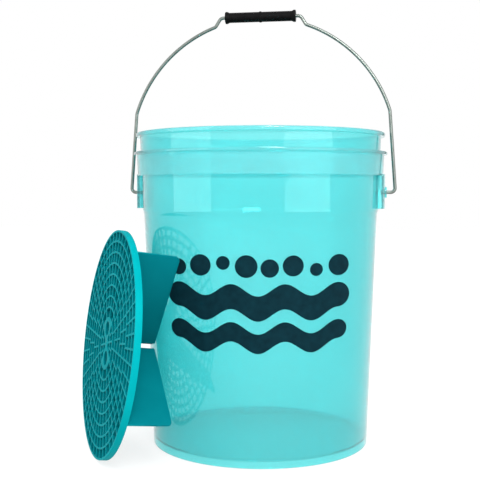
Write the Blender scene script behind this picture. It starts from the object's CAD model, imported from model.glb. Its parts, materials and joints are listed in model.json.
import json
from math import acos, atan2, cos, degrees, pi, radians, sin, sqrt, tan

import bmesh
import bpy
from mathutils import Matrix, Vector


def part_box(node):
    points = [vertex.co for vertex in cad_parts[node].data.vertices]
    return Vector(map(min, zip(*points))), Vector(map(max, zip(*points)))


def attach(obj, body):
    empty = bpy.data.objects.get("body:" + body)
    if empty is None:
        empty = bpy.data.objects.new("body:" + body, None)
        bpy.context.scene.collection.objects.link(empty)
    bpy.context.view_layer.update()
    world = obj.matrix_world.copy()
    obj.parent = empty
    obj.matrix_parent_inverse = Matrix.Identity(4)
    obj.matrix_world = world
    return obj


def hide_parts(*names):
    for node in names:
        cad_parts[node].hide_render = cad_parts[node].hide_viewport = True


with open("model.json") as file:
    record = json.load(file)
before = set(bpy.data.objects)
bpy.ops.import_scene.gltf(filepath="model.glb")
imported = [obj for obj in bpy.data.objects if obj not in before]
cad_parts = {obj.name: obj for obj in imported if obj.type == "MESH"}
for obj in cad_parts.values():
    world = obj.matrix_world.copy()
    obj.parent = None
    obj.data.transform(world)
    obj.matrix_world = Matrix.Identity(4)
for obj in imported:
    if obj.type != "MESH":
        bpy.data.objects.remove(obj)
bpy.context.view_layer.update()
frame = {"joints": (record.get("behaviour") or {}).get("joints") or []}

MM = 0.001

# ---------------------------------------------------------------- places, from the frame (mm)


def cad_box(node):
    """A CAD node's box in millimetres."""
    low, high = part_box(node)
    return low / MM, high / MM


def joint(name):
    """A joint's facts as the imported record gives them."""
    return next(j for j in frame["joints"] if j["name"] == name)


SHELL_LOW, SHELL_HIGH = cad_box("bucket_shell")
PAIL_HEIGHT = SHELL_HIGH.z
FLANGE_R = SHELL_HIGH.x
PIVOT_Z = joint("bail_pivot")["pos_m"][2] / MM
GRIP_Z = joint("grip_spin")["pos_m"][2] / MM
GRIP_LENGTH = cad_box("bail_grip")[1].x - cad_box("bail_grip")[0].x
GUARD_AWAY = Vector(joint("guard_slide")["axis"])
GUARD_MIDDLE = (cad_box("guard_grille")[0] + cad_box("guard_grille")[1]) / 2

# ---------------------------------------------------------------- sizes (mm)

WALL = 2.2
FOOT_R = 129.0
FOOT_HEIGHT = 7.0
FOOT_WIDTH = 2.6
FLOOR_THICKNESS = 2.5
TAPER = 0.0373
SHOULDER_Z = 273.0
SHOULDER_STEP = 1.5
SHOULDER_RISE = 5.0
COLLAR_R = 141.7
SKIRT_TOP_R = 147.4
SKIRT_BOTTOM_R = 146.4
SKIRT_BOTTOM_Z = 318.5
SKIRT_WALL = 1.9
FLANGE_Z = 343.0
FLANGE_THICKNESS = 3.4
NECK_R = 143.0
NECK_TOP_R = 143.5
RIM_R = 148.4
RIM_DEPTH = 5.0
TURNED_SIDES = 288

EAR_HALF_WIDTH = 23.0
EAR_R = 148.8
EAR_PLATE = 2.4
EAR_CEILING = 2.0
EAR_ROOT_LIFT = 0.5
EAR_EDGE = 0.5
EAR_EDGE_ANGLE = 50
EAR_BOTTOM_Z = 280.0
# The cavity's faces stay off the planes of the pail's own faces, so the boolean is clean.
CAVITY_PLATE_GAP = 0.15
CAVITY_CEILING_RISE = 0.9
CAVITY_PAST_ROOT = 3
CAVITY_PAST_BOTTOM = 4
HUB_R = 6.5
HUB_FACE_X = 150.6
HUB_SINK = 0.4
EAR_HOLE_R = 2.3
HOLE_REACH_IN = 5
HOLE_REACH_OUT = 8
ROD_SIDES = 64
ROD_EDGE = 0.6
# Turns the hole's corners, in degrees, off the edges of the hub's end face.
HOLE_ROLL = 1.7

WIRE_R = 2.0
WIRE_END_X = 143.6
WIRE_SIDES = 28
# Upset head on each end of the wire: distance from the bend's end, radius.
WIRE_HEAD = ((0.0, 2.6), (0.15, 3.0), (0.4, 3.2), (1.1, 3.2), (1.3, 2.9), (1.35, 2.2), (1.6, 2.0))
LEG_X = 160.5
LEG_CORNER_R = 5.0
LEG_TOP_X = 153.4
LEG_TOP_CORNER_R = 14.0
BOW_R = 161.0
BOW_CENTRE_Z = 346.0
BOW_STEPS = 40
KINK_LOW_X = 54.5
KINK_LOW_CORNER_R = 4.5
KINK_HIGH_X = 48.0
KINK_HIGH_CORNER_R = 6.0

GRIP_R = 5.9
GRIP_FLANGE_R = 7.15
GRIP_BEAD_R = 6.5
GRIP_BORE_R = 2.3
GRIP_FLANGE_LENGTH = 2.2
GRIP_CONE_END = 4.8
GRIP_BEAD_FOOT_X = 1.6
GRIP_BEAD_TOP_X = 1.0
GRIP_SIDES = 96

PRINT_TURN = 7.5
PRINT_HALF_SPAN = 100.0
WAVE_BANDS = ((143.5, 21.0), (181.5, 27.0))
WAVE_HALF_SPAN = 86.5
WAVE_RISE = 6.5
HALF_WAVES = 6
BUBBLE_Z = 220.0
BUBBLE_RADII = (8.8, 11.6, 7.4, 12.1, 9.8, 11.2, 7.0, 11.6)
BUBBLE_RISES = (-2.0, 1.0, 4.0, 0.5, -1.5, 1.0, -3.5, 0.5)
WAVE_COLUMNS = 240
BUBBLE_COLUMNS = 40
INK_ROWS = 6
INK_LIFT = 0.03
INK_THICKNESS = 0.1

GUARD_R = 128.8
GUARD_THICKNESS = 7.5
GUARD_RIM = 2.6
RIB = 2.4
RING_PITCH = 12.5
OUTER_RING_R = 116.0
CELLS_PER_RING = (12, 24, 24, 36, 36, 48, 48, 48)
HUB_CELL_RINGS = ((7.0, 15.2, 2), (17.6, 27.3, 4))
HUB_CELL_QUARTERS = (90, 270)
CELL_CORNER_R = 0.6
GRILLE_EDGE = 0.3
GRILLE_SIDES = 240
FINGER_HOLE_R = 8.0
FINGER_HOLE_SIDES = 40
FINGER_HOLE_TURNS = (45, 225)
FINGER_HOLE_OFFSET = 16.8
VANE_COUNT = 4
VANE_DEPTH = 55.6
VANE_THICKNESS = 2.2
VANE_INNER_R = 4.8
VANE_ROOT_R = 128.0
VANE_TIP_R = 126.4
VANE_CORNER_R = 5.5
VANE_INNER_CORNER_R = 1.0
VANE_EDGE = 0.35
GUARD_LEAN = 7.12
GUARD_ROLL = 31.5

SMALL = 1e-6
SHELL_MERGE = 0.00001
FLOOR_HALF = 6.0
FLOOR_DROP = 0.0002

# Bands in metres over which a material turns from one tint to another.
SKIRT_BAND = (0.1438, 0.1446)
FLOOR_EDGE_BAND = (0.1225, 0.124)
FLOOR_TOP_BAND = (0.0097, 0.0125)
GUARD_RIM_BAND = (0.1272, 0.1284)
# Cosine of a face's slant from the guard's own face, over which the paler tint comes in.
GUARD_FACE_BAND = (0.8, 0.97)

# ---------------------------------------------------------------- mesh helpers


def new_object(name, mesh):
    """A scene object for a mesh whose vertices are in millimetres."""
    mesh.transform(Matrix.Scale(MM, 4))
    obj = bpy.data.objects.new(name, mesh)
    bpy.context.scene.collection.objects.link(obj)
    return obj


def mesh_from(name, verts, faces):
    """A mesh with outward normals and no double points."""
    mesh = bpy.data.meshes.new(name)
    mesh.from_pydata([tuple(v) for v in verts], [], faces)
    clean(mesh)
    return mesh


def clean(mesh, merge=0.001):
    """Merges double points and turns every normal outward."""
    bm = bmesh.new()
    bm.from_mesh(mesh)
    bmesh.ops.remove_doubles(bm, verts=bm.verts, dist=merge)
    bmesh.ops.dissolve_degenerate(bm, edges=bm.edges, dist=merge)
    bmesh.ops.recalc_face_normals(bm, faces=bm.faces)
    bm.to_mesh(mesh)
    bm.free()
    mesh.update()


def shade(obj, angle=35):
    """Smooth shading with edges sharper than the angle kept crisp."""
    obj.data.shade_smooth()
    obj.data.set_sharp_from_angle(angle=radians(angle))


def rounded(points, closed=False, steps=5):
    """Points of an outline whose corners (x, y, radius) become arcs."""
    out = []
    count = len(points)
    for i, (x, y, r) in enumerate(points):
        here = Vector((x, y))
        end = not closed and i in (0, count - 1)
        if r == 0 or end:
            out.append((x, y))
            continue
        before = (Vector(points[i - 1][:2]) - here).normalized()
        after = (Vector(points[(i + 1) % count][:2]) - here).normalized()
        half = acos(max(-1, min(1, before.dot(after)))) / 2
        reach = r / tan(half)
        centre = here + (before + after).normalized() * (r / sin(half))
        start = here + before * reach - centre
        stop = here + after * reach - centre
        turn = atan2(start.x * stop.y - start.y * stop.x, start.dot(stop))
        for k in range(steps + 1):
            a = turn * k / steps
            p = centre + Vector((start.x * cos(a) - start.y * sin(a), start.x * sin(a) + start.y * cos(a)))
            out.append((p.x, p.y))
    return out


def turned(name, outline, sides):
    """A solid of revolution about Z. The outline (r, z) starts and ends on the axis."""
    verts = []
    rings = []
    for r, z in outline:
        if r < SMALL:
            rings.append([len(verts)])
            verts.append((0, 0, z))
            continue
        rings.append(list(range(len(verts), len(verts) + sides)))
        verts += [(r * cos(2 * pi * k / sides), r * sin(2 * pi * k / sides), z) for k in range(sides)]
    faces = []
    for low, high in zip(rings, rings[1:]):
        for k in range(sides):
            j = (k + 1) % sides
            if len(low) == 1:
                faces.append((low[0], high[k], high[j]))
            elif len(high) == 1:
                faces.append((low[k], low[j], high[0]))
            else:
                faces.append((low[k], low[j], high[j], high[k]))
    return mesh_from(name, verts, faces)


def ringed(name, outline, sides):
    """A solid of revolution about Z with a hole through it. The outline (r, z) is a closed loop."""
    verts = []
    for r, z in outline:
        verts += [(r * cos(2 * pi * k / sides), r * sin(2 * pi * k / sides), z) for k in range(sides)]
    faces = []
    count = len(outline)
    for i in range(count):
        n = (i + 1) % count
        for k in range(sides):
            j = (k + 1) % sides
            faces.append((i * sides + k, i * sides + j, n * sides + j, n * sides + k))
    return mesh_from(name, verts, faces)


def prism(name, outline, low, high):
    """An upright solid with that XY outline between two heights."""
    count = len(outline)
    verts = [(x, y, low) for x, y in outline] + [(x, y, high) for x, y in outline]
    faces = [tuple(range(count)), tuple(range(count, 2 * count))]
    faces += [(i, (i + 1) % count, count + (i + 1) % count, count + i) for i in range(count)]
    return mesh_from(name, verts, faces)


def tube(name, centres, sides):
    """A closed round tube through (point, radius) pairs that lie in the XZ plane."""
    verts = []
    count = len(centres)
    across = Vector((0, 1, 0))
    for i, (p, r) in enumerate(centres):
        ahead = centres[min(i + 1, count - 1)][0] - centres[max(i - 1, 0)][0]
        side = ahead.normalized().cross(across)
        for k in range(sides):
            a = 2 * pi * k / sides
            verts.append(p + (side * cos(a) + across * sin(a)) * r)
    faces = [tuple(range(sides)), tuple(range((count - 1) * sides, count * sides))]
    for i in range(count - 1):
        for k in range(sides):
            j = (k + 1) % sides
            faces.append((i * sides + k, i * sides + j, (i + 1) * sides + j, (i + 1) * sides + k))
    return mesh_from(name, verts, faces)


def applied(obj):
    """Replaces an object's mesh by the result of its modifiers."""
    bpy.context.view_layer.update()
    graph = bpy.context.evaluated_depsgraph_get()
    mesh = bpy.data.meshes.new_from_object(obj.evaluated_get(graph))
    old = obj.data
    obj.modifiers.clear()
    obj.data = mesh
    bpy.data.meshes.remove(old)


def combine(obj, other, operation):
    """Joins or cuts obj with another object, which is used up."""
    modifier = obj.modifiers.new("combine", "BOOLEAN")
    modifier.operation = operation
    modifier.solver = "EXACT"
    modifier.object = other
    applied(obj)
    bpy.data.objects.remove(other)


def bevel(obj, width, angle=40, segments=2):
    """Rounds every edge sharper than the angle, by that width in millimetres."""
    modifier = obj.modifiers.new("bevel", "BEVEL")
    modifier.width = width * MM
    modifier.segments = segments
    modifier.limit_method = "ANGLE"
    modifier.angle_limit = radians(angle)
    applied(obj)


def wall_r(z):
    """Outer radius of the lower wall."""
    return FOOT_R + TAPER * z


# ---------------------------------------------------------------- material helpers


class Nodes:
    """Short way to write a procedural material."""

    def __init__(self, name):
        """A new material with the default shader, and the two fields that the others start from."""
        self.material = bpy.data.materials.new(name)
        self.material.use_nodes = True
        self.tree = self.material.node_tree
        self.shader = self.tree.nodes["Principled BSDF"]
        coords = self.tree.nodes.new("ShaderNodeTexCoord")
        self.place = coords.outputs["Object"]
        self.normal = coords.outputs["Normal"]

    def set(self, **values):
        """Constants on the shader's own sockets, underscores for spaces."""
        for name, value in values.items():
            self.shader.inputs[name.replace("_", " ")].default_value = value

    def link(self, source, target):
        """Joins an output to an input."""
        self.tree.links.new(source, target)

    def noise(self, scale, detail=3.0, stretch=(1, 1, 1)):
        """A noise field over the object's own coordinates."""
        mapping = self.tree.nodes.new("ShaderNodeMapping")
        mapping.inputs["Scale"].default_value = stretch
        self.link(self.place, mapping.inputs["Vector"])
        texture = self.tree.nodes.new("ShaderNodeTexNoise")
        texture.inputs["Scale"].default_value = scale
        texture.inputs["Detail"].default_value = detail
        self.link(mapping.outputs["Vector"], texture.inputs["Vector"])
        return texture.outputs["Fac"]

    def ramp(self, factor, low, high, start=0.3, stop=0.7):
        """Colours from low to high over a field."""
        node = self.tree.nodes.new("ShaderNodeValToRGB")
        node.color_ramp.elements[0].position = start
        node.color_ramp.elements[0].color = (*low, 1)
        node.color_ramp.elements[1].position = stop
        node.color_ramp.elements[1].color = (*high, 1)
        self.link(factor, node.inputs["Fac"])
        return node.outputs["Color"]

    def vector(self, operation, first, second=None):
        """A vector operation on a field and a constant, as a number or a vector."""
        node = self.tree.nodes.new("ShaderNodeVectorMath")
        node.operation = operation
        self.link(first, node.inputs[0])
        if second is not None:
            node.inputs[1].default_value = second
        return node.outputs["Vector" if operation in ("SUBTRACT", "MULTIPLY", "CROSS_PRODUCT") else "Value"]

    def mix(self, factor, first, second):
        """One colour turning into another as a field goes from 0 to 1."""
        node = self.tree.nodes.new("ShaderNodeMix")
        node.data_type = "RGBA"
        self.link(factor, node.inputs["Factor"])
        self.link(first, node.inputs["A"])
        self.link(second, node.inputs["B"])
        return node.outputs["Result"]

    def spread(self, factor, low, high, start=0.3, stop=0.7):
        """A field mapped to a range of values."""
        node = self.tree.nodes.new("ShaderNodeMapRange")
        node.inputs["From Min"].default_value = start
        node.inputs["From Max"].default_value = stop
        node.inputs["To Min"].default_value = low
        node.inputs["To Max"].default_value = high
        self.link(factor, node.inputs["Value"])
        return node.outputs["Result"]

    def absorb(self, color, density):
        """Tint that deepens with the thickness looked through, density per metre."""
        node = self.tree.nodes.new("ShaderNodeVolumeAbsorption")
        node.inputs["Color"].default_value = (*color, 1)
        node.inputs["Density"].default_value = density
        output = self.tree.nodes["Material Output"]
        self.link(node.outputs["Volume"], output.inputs["Volume"])

    def bump(self, height, distance, strength=1.0):
        """Surface relief from a field, distance in millimetres."""
        node = self.tree.nodes.new("ShaderNodeBump")
        node.inputs["Strength"].default_value = strength
        node.inputs["Distance"].default_value = distance * MM
        self.link(height, node.inputs["Height"])
        self.link(node.outputs["Normal"], self.shader.inputs["Normal"])


def bucket_material():
    """Clear turquoise polypropylene, glossy and faintly rippled: paler skirt and ears, deeper floor."""
    m = Nodes("clear_turquoise_plastic")
    m.set(Transmission_Weight=0.87, IOR=1.05, Coat_Weight=0.8, Coat_Roughness=0.04, Coat_IOR=1.5)
    radius = m.vector("LENGTH", m.vector("MULTIPLY", m.place, (1, 1, 0)))
    thin = m.spread(radius, 0.0, 1.0, *SKIRT_BAND)
    wall = m.ramp(m.noise(9.0, 2.0), (0.24, 0.785, 0.80), (0.28, 0.80, 0.815))
    skirt = m.ramp(m.noise(9.0, 2.0), (0.42, 0.87, 0.885), (0.46, 0.88, 0.895))
    floor = m.ramp(m.noise(9.0, 2.0), (0.04, 0.70, 0.715), (0.06, 0.72, 0.735))
    sides = m.mix(thin, wall, skirt)
    outside_floor = m.spread(radius, 0.0, 1.0, *FLOOR_EDGE_BAND)
    height = m.vector("DOT_PRODUCT", m.place, (0, 0, 1))
    above_floor = m.spread(height, 0.0, 1.0, *FLOOR_TOP_BAND)
    low_part = m.mix(outside_floor, floor, sides)
    m.link(m.mix(above_floor, low_part, sides), m.shader.inputs["Base Color"])
    m.link(m.spread(m.noise(60.0), 0.16, 0.22), m.shader.inputs["Roughness"])
    m.bump(m.noise(14.0, 2.0, (1, 1, 0.5)), 0.1, 0.3)
    m.absorb((0.1, 0.89, 0.895), 230.0)
    return m.material


def ink_material():
    """Dark navy screen ink with slight unevenness."""
    m = Nodes("navy_screen_ink")
    m.set(IOR=1.45, Specular_IOR_Level=0.05)
    color = m.ramp(m.noise(120.0), (0.0004, 0.012, 0.018), (0.001, 0.018, 0.026))
    m.link(color, m.shader.inputs["Base Color"])
    m.link(m.spread(m.noise(300.0), 0.5, 0.62), m.shader.inputs["Roughness"])
    m.bump(m.noise(900.0), 0.02)
    return m.material


def steel_material():
    """Dull zinc plated wire with fine drawing marks."""
    m = Nodes("zinc_plated_wire")
    m.set(Metallic=1.0)
    color = m.ramp(m.noise(160.0, 5.0), (0.15, 0.17, 0.155), (0.19, 0.215, 0.20))
    m.link(color, m.shader.inputs["Base Color"])
    m.link(m.spread(m.noise(420.0, 4.0), 0.36, 0.44), m.shader.inputs["Roughness"])
    m.bump(m.noise(1500.0, 2.0), 0.02)
    return m.material


def grip_material():
    """Satin black moulded plastic with a fine spark-eroded grain."""
    m = Nodes("black_moulded_plastic")
    m.set(Specular_IOR_Level=0.06)
    color = m.ramp(m.noise(200.0), (0.0012, 0.0012, 0.0013), (0.003, 0.003, 0.0032))
    m.link(color, m.shader.inputs["Base Color"])
    m.link(m.spread(m.noise(700.0), 0.42, 0.58), m.shader.inputs["Roughness"])
    m.bump(m.noise(1800.0, 2.0), 0.04)
    return m.material


def guard_material():
    """Opaque teal polypropylene, satin, paler on the rim band and on the faces of the ribs."""
    m = Nodes("teal_plastic")
    m.set(IOR=1.49, Specular_IOR_Level=0.012)
    matrix = guard_matrix()
    normal = matrix.col[2].to_3d()
    facing = m.vector("DOT_PRODUCT", m.normal, normal)
    face = m.spread(facing, 0.0, 1.0, *GUARD_FACE_BAND)
    arm = m.vector("SUBTRACT", m.place, matrix.translation * MM)
    radius = m.vector("LENGTH", m.vector("CROSS_PRODUCT", arm, normal))
    rim = m.spread(radius, 0.0, 1.0, *GUARD_RIM_BAND)
    deep = m.ramp(m.noise(25.0), (0.0, 0.115, 0.138), (0.0005, 0.132, 0.156))
    pale_face = m.ramp(m.noise(25.0), (0.0, 0.195, 0.218), (0.0005, 0.215, 0.24))
    pale_rim = m.ramp(m.noise(25.0), (0.0, 0.235, 0.26), (0.0005, 0.265, 0.29))
    color = m.mix(rim, m.mix(face, deep, pale_face), pale_rim)
    m.link(color, m.shader.inputs["Base Color"])
    m.link(m.spread(m.noise(260.0), 0.5, 0.6), m.shader.inputs["Roughness"])
    m.bump(m.noise(1100.0, 3.0), 0.03)
    return m.material


def finish_piece(obj, body, material, nodes, angle=35):
    """Shades a piece, gives it its material, and puts it on its body in place of its CAD nodes."""
    shade(obj, angle)
    obj.data.materials.clear()
    obj.data.materials.append(material)
    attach(obj, body)
    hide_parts(*nodes)
    return obj


# ---------------------------------------------------------------- bucket


def pail_outline():
    """Half section of the pail, from the floor's underside round the outside to its top face."""
    shoulder_r = wall_r(SHOULDER_Z)
    shoulder_top = SHOULDER_Z + SHOULDER_RISE
    neck_z = FLANGE_Z + FLANGE_THICKNESS
    lip_z = PAIL_HEIGHT - RIM_DEPTH
    floor_z = FOOT_HEIGHT + FLOOR_THICKNESS
    foot_in = FOOT_R - FOOT_WIDTH
    return rounded(
        [
            (0, FOOT_HEIGHT, 0),
            (foot_in, FOOT_HEIGHT, 1.2),
            (foot_in, 0, 0.8),
            (FOOT_R, 0, 1.2),
            (shoulder_r, SHOULDER_Z, 3.0),
            (shoulder_r + SHOULDER_STEP, shoulder_top, 2.0),
            (COLLAR_R, FLANGE_Z, 0.6),
            (SKIRT_TOP_R - SKIRT_WALL, FLANGE_Z, 0.6),
            (SKIRT_BOTTOM_R - SKIRT_WALL, SKIRT_BOTTOM_Z, 0.7),
            (SKIRT_BOTTOM_R, SKIRT_BOTTOM_Z, 0.7),
            (SKIRT_TOP_R, FLANGE_Z, 0.4),
            (FLANGE_R, FLANGE_Z, 0.8),
            (FLANGE_R, neck_z, 1.2),
            (NECK_R, neck_z, 1.0),
            (NECK_TOP_R, lip_z, 0.8),
            (RIM_R, lip_z, 1.2),
            (RIM_R, PAIL_HEIGHT, 2.0),
            (NECK_TOP_R - WALL, PAIL_HEIGHT, 1.4),
            (shoulder_r + SHOULDER_STEP - WALL, shoulder_top, 3.0),
            (shoulder_r - WALL, SHOULDER_Z, 4.0),
            (wall_r(floor_z) - WALL, floor_z, 2.5),
            (0, floor_z, 0),
        ]
    )


def arc_outline(inner_r, outer_r, half_width, side):
    """XY outline between two radii, cut off at a half width, on one side of the pail."""
    steps = 16
    outline = []
    for r, order in ((outer_r, 1), (inner_r, -1)):
        for k in range(steps + 1):
            y = order * half_width * (2 * k / steps - 1)
            outline.append((side * sqrt(r * r - y * y), y))
    return outline


def ear_object(side):
    """A hollow ear: curved face plate, side walls and ceiling, open below."""
    root_r = wall_r(SHOULDER_Z) + EAR_ROOT_LIFT
    outline = arc_outline(root_r, EAR_R, EAR_HALF_WIDTH, side)
    block = new_object("ear", prism("ear", outline, EAR_BOTTOM_Z, SKIRT_BOTTOM_Z + EAR_CEILING))
    cavity_outer_r = EAR_R - EAR_PLATE - CAVITY_PLATE_GAP
    outline = arc_outline(root_r - CAVITY_PAST_ROOT, cavity_outer_r, EAR_HALF_WIDTH - EAR_PLATE, side)
    low = EAR_BOTTOM_Z - CAVITY_PAST_BOTTOM
    high = SKIRT_BOTTOM_Z + CAVITY_CEILING_RISE
    combine(block, new_object("cavity", prism("cavity", outline, low, high)), "DIFFERENCE")
    bevel(block, EAR_EDGE, EAR_EDGE_ANGLE)
    return block


def x_rod(name, radius, start_x, end_x, height, roll=0.0):
    """A rod along X at a height, rounded at its far end and turned about its own axis by the roll."""
    length = abs(end_x - start_x)
    edge = min(ROD_EDGE, radius / 4)
    outline = rounded([(0, 0, 0), (radius, 0, 0), (radius, length, edge), (0, length, 0)])
    mesh = turned(name, outline, ROD_SIDES)
    turn = 90 if end_x > start_x else -90
    along = Matrix.Rotation(radians(turn), 4, "Y") @ Matrix.Rotation(radians(roll), 4, "Z")
    mesh.transform(Matrix.Translation((start_x, 0, height)) @ along)
    return new_object(name, mesh)


def build_bucket(material):
    """The pail with both ears as one closed shell."""
    obj = new_object("bucket_body", turned("bucket_body", pail_outline(), TURNED_SIDES))
    for side in (-1, 1):
        combine(obj, ear_object(side), "UNION")
        hub_root_x = side * (EAR_R - EAR_PLATE + HUB_SINK)
        combine(obj, x_rod("hub", HUB_R, hub_root_x, side * HUB_FACE_X, PIVOT_Z), "UNION")
        hole_start_x = side * (EAR_R - HOLE_REACH_IN)
        hole_end_x = side * (EAR_R + HOLE_REACH_OUT)
        hole = x_rod("hole", EAR_HOLE_R, hole_start_x, hole_end_x, PIVOT_Z, HOLE_ROLL)
        combine(obj, hole, "DIFFERENCE")
    clean(obj.data, SHELL_MERGE)
    return finish_piece(obj, "bucket", material, ["bucket_shell"])


# ---------------------------------------------------------------- print


def wave_edge(x, centre_z, half_thickness):
    """Height of a wave band's edge: a cosine wave, then a round cap past each end crest."""
    past = abs(x) - WAVE_HALF_SPAN
    if past <= 0:
        phase = pi * HALF_WAVES * (x + WAVE_HALF_SPAN) / (2 * WAVE_HALF_SPAN)
        return centre_z + WAVE_RISE * cos(phase) + half_thickness
    cap = sqrt(max(half_thickness**2 - past**2, SMALL))
    return centre_z + WAVE_RISE + (cap if half_thickness > 0 else -cap)


def wave_shape(centre_z, thickness):
    """A wave band as its two ends, its lower and upper edges and its number of columns."""
    half = thickness / 2
    reach = WAVE_HALF_SPAN + half

    def low_edge(x):
        """Height of the band's lower edge."""
        return wave_edge(x, centre_z, -half)

    def high_edge(x):
        """Height of the band's upper edge."""
        return wave_edge(x, centre_z, half)

    return -reach, reach, low_edge, high_edge, WAVE_COLUMNS


def bubble_shape(centre_x, centre_z, r):
    """A round bubble as its two ends, its lower and upper edges and its number of columns."""

    def rise(x):
        """Height of the bubble's edge over its centre."""
        return sqrt(max(r * r - (x - centre_x) ** 2, SMALL))

    def low_edge(x):
        """Height of the bubble's lower edge."""
        return centre_z - rise(x)

    def high_edge(x):
        """Height of the bubble's upper edge."""
        return centre_z + rise(x)

    return centre_x - r, centre_x + r, low_edge, high_edge, BUBBLE_COLUMNS


def ink_strip(start, stop, low_edge, high_edge, columns):
    """Vertices and faces of one inked shape wrapped on the wall, a closed thin sheet."""
    rows = INK_ROWS
    verts = []
    for lift in (INK_LIFT, INK_LIFT + INK_THICKNESS):
        for i in range(columns + 1):
            x = start + (stop - start) * (1 - cos(pi * i / columns)) / 2
            low, high = low_edge(x), high_edge(x)
            for j in range(rows + 1):
                z = low + (high - low) * j / rows
                r = wall_r(z)
                depth = -sqrt(r * r - x * x)
                out = (r + lift) / r
                verts.append(Vector((x * out, depth * out, z)))
    layer = (columns + 1) * (rows + 1)
    faces = []

    def at(level, i, j):
        """Number of the vertex at a column and row of the inner or outer skin."""
        return level * layer + i * (rows + 1) + j

    for i in range(columns):
        for j in range(rows):
            for level in (0, 1):
                near = (at(level, i, j), at(level, i + 1, j))
                far = (at(level, i + 1, j + 1), at(level, i, j + 1))
                faces.append(near + far)
        for j in (0, rows):
            faces.append((at(0, i, j), at(0, i + 1, j), at(1, i + 1, j), at(1, i, j)))
    for i in (0, columns):
        for j in range(rows):
            faces.append((at(0, i, j), at(0, i, j + 1), at(1, i, j + 1), at(1, i, j)))
    return verts, faces


def build_print(material):
    """Bubbles over two wave bands, a generic print in navy ink."""
    shapes = [wave_shape(centre_z, thickness) for centre_z, thickness in WAVE_BANDS]
    step = 2 * PRINT_HALF_SPAN / len(BUBBLE_RADII)
    for i, (r, rise) in enumerate(zip(BUBBLE_RADII, BUBBLE_RISES)):
        centre_x = -PRINT_HALF_SPAN + (i + 0.5) * step
        shapes.append(bubble_shape(centre_x, BUBBLE_Z + rise, r))
    verts = []
    faces = []
    for shape in shapes:
        more_verts, more_faces = ink_strip(*shape)
        faces += [tuple(k + len(verts) for k in face) for face in more_faces]
        verts += more_verts
    mesh = mesh_from("wave_print", verts, faces)
    mesh.transform(Matrix.Rotation(radians(PRINT_TURN), 4, "Z"))
    return finish_piece(new_object("wave_print", mesh), "bucket", material, ["front_print"])


# ---------------------------------------------------------------- bail and grip


def bail_points():
    """Centre line of the bail, (x, z) from the left end to the right one."""
    kink_low_z = BOW_CENTRE_Z + sqrt(BOW_R**2 - KINK_LOW_X**2)
    bow_end_z = BOW_CENTRE_Z + sqrt(BOW_R**2 - LEG_TOP_X**2)
    start = atan2(bow_end_z - BOW_CENTRE_Z, LEG_TOP_X)
    stop = atan2(kink_low_z - BOW_CENTRE_Z, KINK_LOW_X)
    bow = []
    for k in range(1, BOW_STEPS):
        a = start + (stop - start) * k / BOW_STEPS
        bow.append((BOW_R * cos(a), BOW_CENTRE_Z + BOW_R * sin(a), 0))
    half = [
        (WIRE_END_X, PIVOT_Z, 0),
        (LEG_X, PIVOT_Z, LEG_CORNER_R),
        (LEG_TOP_X, bow_end_z, LEG_TOP_CORNER_R),
    ]
    half += bow
    half += [
        (KINK_LOW_X, kink_low_z, KINK_LOW_CORNER_R),
        (KINK_HIGH_X, GRIP_Z, KINK_HIGH_CORNER_R),
        (0, GRIP_Z, 0),
    ]
    right = rounded(half, steps=8)
    return [(-x, z) for x, z in right] + [(x, z) for x, z in reversed(right[:-1])]


def build_bail(material):
    """Bent wire with an upset head on each end."""
    line = [Vector((x, 0, z)) for x, z in bail_points()]
    left = [(line[0] - Vector((d, 0, 0)), r) for d, r in WIRE_HEAD]
    right = [(line[-1] + Vector((d, 0, 0)), r) for d, r in reversed(WIRE_HEAD)]
    centres = left + [(p, WIRE_R) for p in line[1:-1]] + right
    obj = new_object("bent_bail", tube("bent_bail", centres, WIRE_SIDES))
    return finish_piece(obj, "bail", material, ["bail_wire"], 40)


def build_grip(material):
    """Sleeve with a flange on each end and a bead round its middle."""
    half = GRIP_LENGTH / 2
    outline = [
        (GRIP_BORE_R, -half, 0.4),
        (GRIP_FLANGE_R, -half, 0.7),
        (GRIP_FLANGE_R, -half + GRIP_FLANGE_LENGTH, 0.7),
        (GRIP_R, -half + GRIP_CONE_END, 1.5),
        (GRIP_R, -GRIP_BEAD_FOOT_X, 0.4),
        (GRIP_BEAD_R, -GRIP_BEAD_TOP_X, 0.4),
    ]
    outline += [(r, -x, radius) for r, x, radius in reversed(outline)]
    mesh = ringed("grip_sleeve", rounded(outline, closed=True, steps=4), GRIP_SIDES)
    mesh.transform(Matrix.Translation((0, 0, GRIP_Z)) @ Matrix.Rotation(radians(90), 4, "Y"))
    return finish_piece(new_object("grip_sleeve", mesh), "grip", material, ["bail_grip"])


# ---------------------------------------------------------------- grit guard


def guard_matrix():
    """From the guard's own frame (mm, face towards +Z, first vane along +X) to the row frame."""
    lean = radians(GUARD_LEAN)
    roll = radians(GUARD_ROLL)
    normal = GUARD_AWAY * cos(lean) + Vector((0, 0, sin(lean)))
    upward = -GUARD_AWAY * sin(lean) + Vector((0, 0, cos(lean)))
    sideways = upward.cross(normal)
    vane_x = upward * cos(roll) + sideways * sin(roll)
    vane_y = normal.cross(vane_x)
    face = GUARD_MIDDLE + normal * (GUARD_THICKNESS / 2)
    matrix = Matrix((vane_x, vane_y, normal)).transposed().to_4x4()
    matrix.translation = face
    return matrix


def polar(r, a):
    """A point at a radius and an angle in degrees."""
    return (r * cos(radians(a)), r * sin(radians(a)))


def cell_outline(inner_r, outer_r, middle, half):
    """One opening between two rings and two parallel-sided spokes, with small round corners."""
    points = []
    steps = 4
    for r, order in ((inner_r, 1), (outer_r, -1)):
        spread = half - degrees(RIB / 2 / r)
        for k in range(steps + 1):
            a = middle + order * spread * (2 * k / steps - 1)
            corner = k in (0, steps)
            points.append((*polar(r, a), CELL_CORNER_R if corner else 0))
    return rounded(points, closed=True, steps=3)


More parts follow.
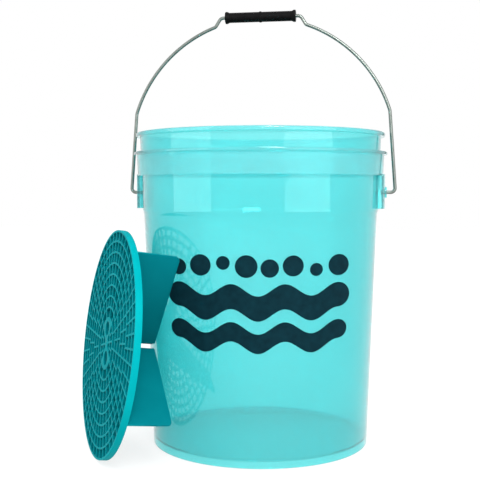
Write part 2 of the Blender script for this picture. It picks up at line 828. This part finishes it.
def circle_outline(r, sides, centre=(0, 0)):
    """A circle as a list of points."""
    points = []
    for k in range(sides):
        a = 2 * pi * k / sides
        points.append((centre[0] + r * cos(a), centre[1] + r * sin(a)))
    return points


def grille_outlines():
    """The outer circle of the plate and all its openings."""
    edges = [OUTER_RING_R - RING_PITCH * k for k in range(len(CELLS_PER_RING) - 1, -1, -1)]
    edges.append(GUARD_R - GUARD_RIM + RIB / 2)
    holes = []
    for k, count in enumerate(CELLS_PER_RING):
        for i in range(count):
            middle = (i + 0.5) * 360 / count
            holes.append(cell_outline(edges[k] + RIB / 2, edges[k + 1] - RIB / 2, middle, 180 / count))
    for inner_r, outer_r, count in HUB_CELL_RINGS:
        for quarter in HUB_CELL_QUARTERS:
            for i in range(count):
                middle = quarter + (i + 0.5) * 90 / count
                holes.append(cell_outline(inner_r, outer_r, middle, 45 / count))
    for turn in FINGER_HOLE_TURNS:
        centre = polar(FINGER_HOLE_OFFSET, turn)
        holes.append(circle_outline(FINGER_HOLE_R, FINGER_HOLE_SIDES, centre))
    return circle_outline(GUARD_R, GRILLE_SIDES), holes


def area(outline):
    """Signed area of a closed outline."""
    pairs = zip(outline, outline[1:] + outline[:1])
    return sum(x0 * y1 - x1 * y0 for (x0, y0), (x1, y1) in pairs) / 2


def flat_solid(name, outer, holes, low, high, soft):
    """A plate with holes between two heights, every edge rounded by soft."""
    curve = bpy.data.curves.new(name, "CURVE")
    curve.dimensions = "2D"
    curve.fill_mode = "BOTH"
    for outline, sign in [(outer, 1)] + [(hole, -1) for hole in holes]:
        if area(outline) * sign < 0:
            outline = outline[::-1]
        spline = curve.splines.new("POLY")
        spline.points.add(len(outline) - 1)
        for point, (x, y) in zip(spline.points, outline):
            point.co = (x, y, 0, 1)
        spline.use_cyclic_u = True
    curve.extrude = (high - low) / 2 - soft
    curve.bevel_depth = soft
    curve.bevel_resolution = 1
    curve.offset = -soft
    carrier = bpy.data.objects.new(name, curve)
    bpy.context.scene.collection.objects.link(carrier)
    bpy.context.view_layer.update()
    graph = bpy.context.evaluated_depsgraph_get()
    mesh = bpy.data.meshes.new_from_object(carrier.evaluated_get(graph))
    bpy.data.objects.remove(carrier)
    bpy.data.curves.remove(curve)
    mesh.transform(Matrix.Translation((0, 0, (low + high) / 2)))
    clean(mesh)
    return mesh


def build_grille(material):
    """The guard's plate: rings, spokes, rim band and finger holes."""
    outer, holes = grille_outlines()
    mesh = flat_solid("grit_grille", outer, holes, -GUARD_THICKNESS, 0, GRILLE_EDGE)
    mesh.transform(guard_matrix())
    obj = new_object("grit_grille", mesh)
    return finish_piece(obj, "grit_guard", material, ["guard_grille"])


def build_vane(index, material):
    """One upright vane with a rounded outer corner and softened edges."""
    outline = rounded(
        [
            (VANE_INNER_R, -GUARD_THICKNESS, 0),
            (VANE_ROOT_R, -GUARD_THICKNESS, 0),
            (VANE_TIP_R, -VANE_DEPTH, VANE_CORNER_R),
            (VANE_INNER_R, -VANE_DEPTH, VANE_INNER_CORNER_R),
        ],
        closed=True,
        steps=8,
    )
    mesh = flat_solid("vane", outline, [], -VANE_THICKNESS / 2, VANE_THICKNESS / 2, VANE_EDGE)
    stand = Matrix.Rotation(radians(90), 4, "X")
    turn = Matrix.Rotation(2 * pi * index / VANE_COUNT, 4, "Z")
    mesh.transform(guard_matrix() @ turn @ stand)
    obj = new_object(f"upright_vane_{index + 1}", mesh)
    return finish_piece(obj, "grit_guard", material, [f"guard_vane_{index + 1}"])


# ---------------------------------------------------------------- stage, light, camera


def build_stage():
    """Plain pale floor."""
    mesh = bpy.data.meshes.new("floor")
    corners = [(x * FLOOR_HALF, y * FLOOR_HALF, 0) for x, y in ((-1, -1), (1, -1), (1, 1), (-1, 1))]
    mesh.from_pydata(corners, [], [(0, 1, 2, 3)])
    floor = bpy.data.objects.new("floor", mesh)
    bpy.context.scene.collection.objects.link(floor)
    floor.location.z = -FLOOR_DROP
    m = Nodes("pale_floor")
    m.set(Roughness=0.9, Specular_IOR_Level=0.1, Emission_Strength=0.78)
    m.shader.inputs["Emission Color"].default_value = (1, 1, 1, 1)
    color = m.ramp(m.noise(3.0), (0.20, 0.20, 0.20), (0.21, 0.21, 0.21))
    m.link(color, m.shader.inputs["Base Color"])
    mesh.materials.append(m.material)


def build_world():
    """White studio surround, brighter overhead."""
    world = bpy.data.worlds.new("studio")
    bpy.context.scene.world = world
    world.use_nodes = True
    tree = world.node_tree
    back = tree.nodes["Background"]
    coords = tree.nodes.new("ShaderNodeTexCoord")
    split = tree.nodes.new("ShaderNodeSeparateXYZ")
    level = tree.nodes.new("ShaderNodeMapRange")
    level.inputs["From Min"].default_value = 0.35
    level.inputs["From Max"].default_value = 1.0
    level.inputs["To Min"].default_value = 1.0
    level.inputs["To Max"].default_value = 1.5
    tree.links.new(coords.outputs["Generated"], split.inputs["Vector"])
    tree.links.new(split.outputs["Z"], level.inputs["Value"])
    tree.links.new(level.outputs["Result"], back.inputs["Strength"])
    back.inputs["Color"].default_value = (1, 1, 1, 1)


def area_light(name, place, aim, size, power):
    """A soft rectangular light that faces a point."""
    light = bpy.data.lights.new(name, "AREA")
    light.shape = "RECTANGLE"
    light.size, light.size_y = size
    light.energy = power
    obj = bpy.data.objects.new(name, light)
    obj.location = place
    obj.rotation_euler = (Vector(aim) - Vector(place)).to_track_quat("-Z", "Y").to_euler()
    bpy.context.scene.collection.objects.link(obj)


def build_lights():
    """Softboxes left and right of the camera, and a small high key light from the front right."""
    centre = (0, 0, 0.2)
    area_light("left_softbox", (-1.78, -1.11, 0.9), centre, (1.83, 1.8), 18)
    area_light("right_softbox", (1.67, -1.27, 0.9), centre, (1.96, 1.8), 20)
    area_light("key_softbox", (0.54, -1.6, 1.25), (-0.16, -0.1, 0.15), (0.6, 0.6), 34)


def build_camera():
    """Camera in front, a little to the right, just above the ears' height, looking slightly down."""
    distance = 1.09156
    height = 0.30015
    azimuth = radians(8.5)
    pan_left = radians(1.283)
    tilt_down = radians(3.08)
    data = bpy.data.cameras.new("camera")
    data.sensor_width = 36.0
    data.lens = 67.78
    camera = bpy.data.objects.new("camera", data)
    camera.location = (distance * sin(azimuth), -distance * cos(azimuth), height)
    camera.rotation_euler = (pi / 2 - tilt_down, 0, azimuth + pan_left)
    bpy.context.scene.collection.objects.link(camera)
    bpy.context.scene.camera = camera
    bpy.context.scene.view_settings.view_transform = "Standard"


build_bucket(bucket_material())
build_print(ink_material())
build_bail(steel_material())
build_grip(grip_material())
teal = guard_material()
build_grille(teal)
for vane in range(VANE_COUNT):
    build_vane(vane, teal)
build_stage()
build_world()
build_lights()
build_camera()
